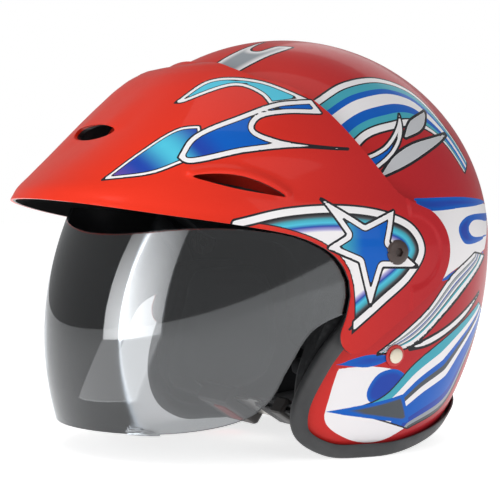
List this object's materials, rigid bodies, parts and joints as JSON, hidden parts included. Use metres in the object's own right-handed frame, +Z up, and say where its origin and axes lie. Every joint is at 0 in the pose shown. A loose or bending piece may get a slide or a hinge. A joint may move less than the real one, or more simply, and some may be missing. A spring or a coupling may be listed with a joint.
{
  "type": "open face motorcycle helmet",
  "caption": "Open face helmet shell with a pivoting peak, smoked face shield, rubber edge trim, padded liner and a chin strap with push-button buckle.",
  "frame": {"origin": "on the table, under the middle of the bounding box: the pivots and the centre of the dome are 22.2 mm behind it, because the peak reaches further forward than the shell does back", "axes": "the wearer faces -Y, the wearer's left side is +X, +Z is up; the helmet rests on z = 0"},
  "size_m": [0.2776, 0.3284, 0.2664],
  "materials": {
    "shell_paint": "gloss red paint with a blue, teal and white flame design under clear coat",
    "peak_paint": "gloss red paint with blue and white flames and a star",
    "smoke": "smoked, polished polycarbonate",
    "rubber": "matt black extruded rubber",
    "eps": "black moulded bead foam",
    "lining": "black brushed knit over foam",
    "webbing": "black woven polyester webbing",
    "black_plastic": "black moulded nylon",
    "nylon": "natural nylon washer",
    "steel": "zinc plated steel",
    "red_plastic": "red moulded plastic"
  },
  "bodies": {
    "helmet": {"outer_shell": "shell_paint", "edge_trim": "rubber", "eps_liner": "eps", "crown_pad": "lining", "neck_roll": "lining", "cheek_foam_left": "eps", "cheek_foam_right": "eps", "cheek_pad_left": "lining", "cheek_pad_right": "lining", "pivot_base_left": "black_plastic", "pivot_base_right": "black_plastic", "pivot_bush_left": "steel", "pivot_bush_right": "steel", "pivot_nut_left": "steel", "pivot_nut_right": "steel", "pivot_screw_left": "black_plastic", "pivot_screw_right": "black_plastic", "strap_rivet_left": "steel", "strap_rivet_right": "steel", "rivet_washer_left": "red_plastic", "rivet_washer_right": "red_plastic", "strap_anchor_left": "steel", "strap_anchor_right": "steel", "chin_strap_left": "webbing", "chin_strap_right": "webbing", "buckle_housing": "black_plastic", "buckle_tongue": "steel", "strap_slider": "black_plastic"},
    "peak": {"peak": "peak_paint", "friction_washer_left": "nylon", "friction_washer_right": "nylon"},
    "shield": {"face_shield": "smoke"},
    "button": {"buckle_button": "red_plastic"}
  },
  "joints": [
    {"name": "peak_flip", "type": "hinge", "parent": "helmet", "child": "peak", "pos_m": [0, 0.02225, 0.1284], "axis": [-1, 0, 0], "range_deg": [0, 50]},
    {"name": "shield_lift", "type": "hinge", "parent": "peak", "child": "shield", "pos_m": [0, 0.02225, 0.1284], "axis": [-1, 0, 0], "range_deg": [0, 8]},
    {"name": "button_press", "type": "slide", "parent": "helmet", "child": "button", "axis": [0, 0.5487, 0.836], "range_m": [0, 0.0025], "stiffness_N_per_m": 1200, "springref_m": -0.002}
  ]
}
